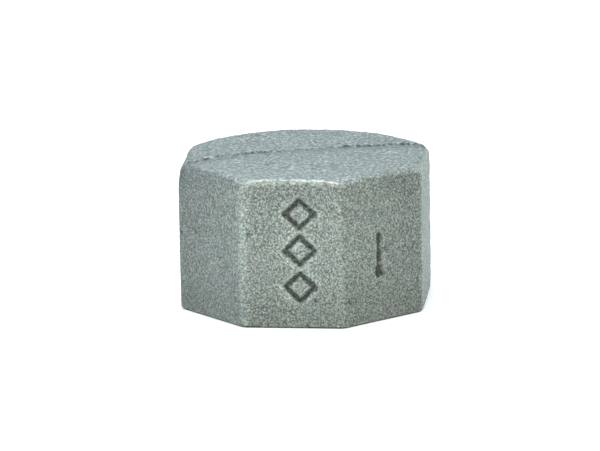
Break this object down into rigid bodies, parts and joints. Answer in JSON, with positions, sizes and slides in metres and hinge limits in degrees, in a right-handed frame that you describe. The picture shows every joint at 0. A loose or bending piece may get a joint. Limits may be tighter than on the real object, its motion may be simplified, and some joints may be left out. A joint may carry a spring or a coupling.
{
  "type": "pipe cap",
  "caption": "Octagonal malleable-iron pipe cap, closed at the low-crowned top, with an internal pipe thread in its open mouth.",
  "frame": {"origin": "centre of the mouth, in the plane that the cap stands on", "axes": "+Z along the thread's axis towards the closed end; -Y is the outward normal of the flat that carries the foundry mark; the mould parting plane runs through the corners 112.5 degrees round from -Y towards +X and opposite"},
  "size_m": [0.039, 0.039, 0.0247],
  "materials": {
    "cast_iron": "shot-blasted sand-cast skin, matt grey with fine grain; machined thread inside"
  },
  "bodies": {
    "root": {"cap_body": "cast_iron"}
  },
  "joints": []
}
